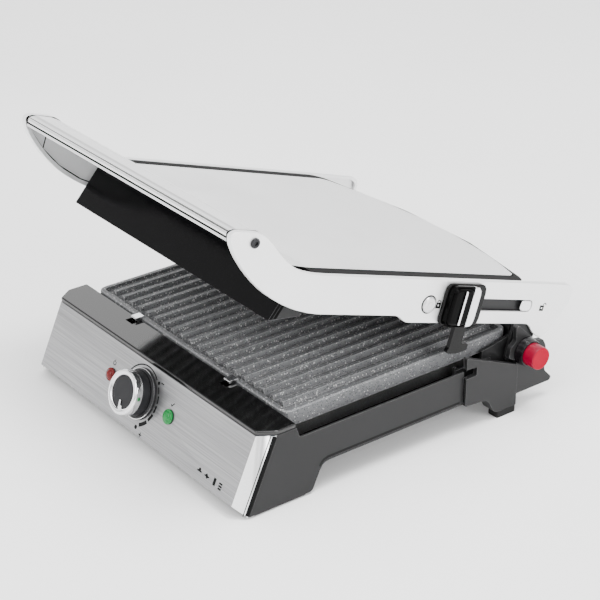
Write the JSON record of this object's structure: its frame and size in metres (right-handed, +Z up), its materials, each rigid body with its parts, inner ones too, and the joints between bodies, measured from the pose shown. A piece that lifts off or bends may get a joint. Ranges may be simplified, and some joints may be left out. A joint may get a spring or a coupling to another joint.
{
  "type": "panini press",
  "caption": "Panini press with a hinged lid on two side arms, ridged lower and upper plates, a leaning control panel with dial and lamps, a sliding lid lock and a side release button.",
  "frame": {"origin": "middle of the overall box, on the table plane, with the lid as it stands open at rest", "axes": "+X to the right seen from the front, +Y from the control panel towards the hinge, +Z up"},
  "size_m": [0.379, 0.404, 0.2679],
  "materials": {
    "black_plastic": "satin",
    "gloss_black": "gloss",
    "brushed_panel": "brushed",
    "silver_lid": "satin",
    "chrome_trim": "polished",
    "stone_coating": "speckled",
    "steel_pin": "turned",
    "heater_sheath": "matt",
    "reflector": "mill",
    "rubber_foot": "matt",
    "red_button": "satin",
    "red_lens": "gloss",
    "green_lens": "gloss",
    "dark_screw": "blackened",
    "ceramic": "matt"
  },
  "bodies": {
    "base": {"base_housing": "black_plastic", "base_floor": "black_plastic", "ledge": "gloss_black", "control_panel": "brushed_panel", "dial_collar": "black_plastic", "thermostat": "ceramic", "lamp_power": "red_lens", "lamp_ready": "green_lens", "lower_plate": "stone_coating", "lower_heater": "heater_sheath", "lower_reflector": "reflector", "bracket_right": "black_plastic", "bracket_left": "black_plastic", "tower_right": "black_plastic", "tower_left": "black_plastic", "rear_cover": "black_plastic", "hinge_pin_right": "steel_pin", "hinge_pin_left": "steel_pin", "button_collar": "black_plastic", "hinge_cap_left": "black_plastic", "foot_pad_front_right": "rubber_foot", "foot_pad_front_left": "rubber_foot", "foot_pad_rear_right": "rubber_foot", "foot_pad_rear_left": "rubber_foot", "cord_gland": "rubber_foot", "terminal_block": "ceramic"},
    "knob": {"knob_body": "black_plastic", "knob_ring": "chrome_trim", "knob_pointer": "chrome_trim", "knob_shaft": "steel_pin"},
    "clip_left": {"plate_clip_left": "chrome_trim"},
    "clip_right": {"plate_clip_right": "chrome_trim"},
    "button": {"release_button": "red_button"},
    "lid": {"lid_sheet": "silver_lid", "lid_carrier": "gloss_black", "handle_grip": "black_plastic", "handle_trim": "chrome_trim", "arm_right": "silver_lid", "arm_left": "silver_lid", "knuckle_right": "steel_pin", "knuckle_left": "steel_pin", "arm_screw_right": "dark_screw", "arm_screw_left": "dark_screw", "head_rivet_right": "chrome_trim", "head_rivet_left": "chrome_trim", "slot_end_trim": "chrome_trim"},
    "lock": {"lock_slider": "black_plastic", "lock_grip": "gloss_black", "lock_grip_ridge": "chrome_trim", "lock_trim": "chrome_trim"},
    "head": {"head_housing": "black_plastic", "upper_plate": "stone_coating", "upper_heater": "heater_sheath", "upper_reflector": "reflector"}
  },
  "joints": [
    {"name": "lid_hinge", "type": "hinge", "parent": "base", "child": "lid", "pos_m": [0, 0.13818, 0.0595], "axis": [-1, 0, 0], "range_deg": [-18.3, 82]},
    {"name": "head_float", "type": "hinge", "parent": "lid", "child": "head", "pos_m": [0, 0.02187, 0.14094], "axis": [-1, 0, 0], "range_deg": [-0.4, 2]},
    {"name": "lock_slide", "type": "slide", "parent": "lid", "child": "lock", "axis": [0, 0.9494, -0.314], "range_m": [0, 0.05]},
    {"name": "release_press", "type": "slide", "parent": "base", "child": "button", "axis": [-1, 0, 0], "range_m": [0, 0.004], "stiffness_N_per_m": 600},
    {"name": "thermostat_turn", "type": "hinge", "parent": "base", "child": "knob", "pos_m": [-0.0035, -0.17497, 0.04457], "axis": [0, 0.9144, -0.4049], "range_deg": [0, 270]},
    {"name": "clip_left_release", "type": "slide", "parent": "base", "child": "clip_left", "axis": [0, -1, 0], "range_m": [0, 0.004], "stiffness_N_per_m": 800},
    {"name": "clip_right_release", "type": "slide", "parent": "base", "child": "clip_right", "axis": [0, -1, 0], "range_m": [0, 0.004], "stiffness_N_per_m": 800}
  ]
}
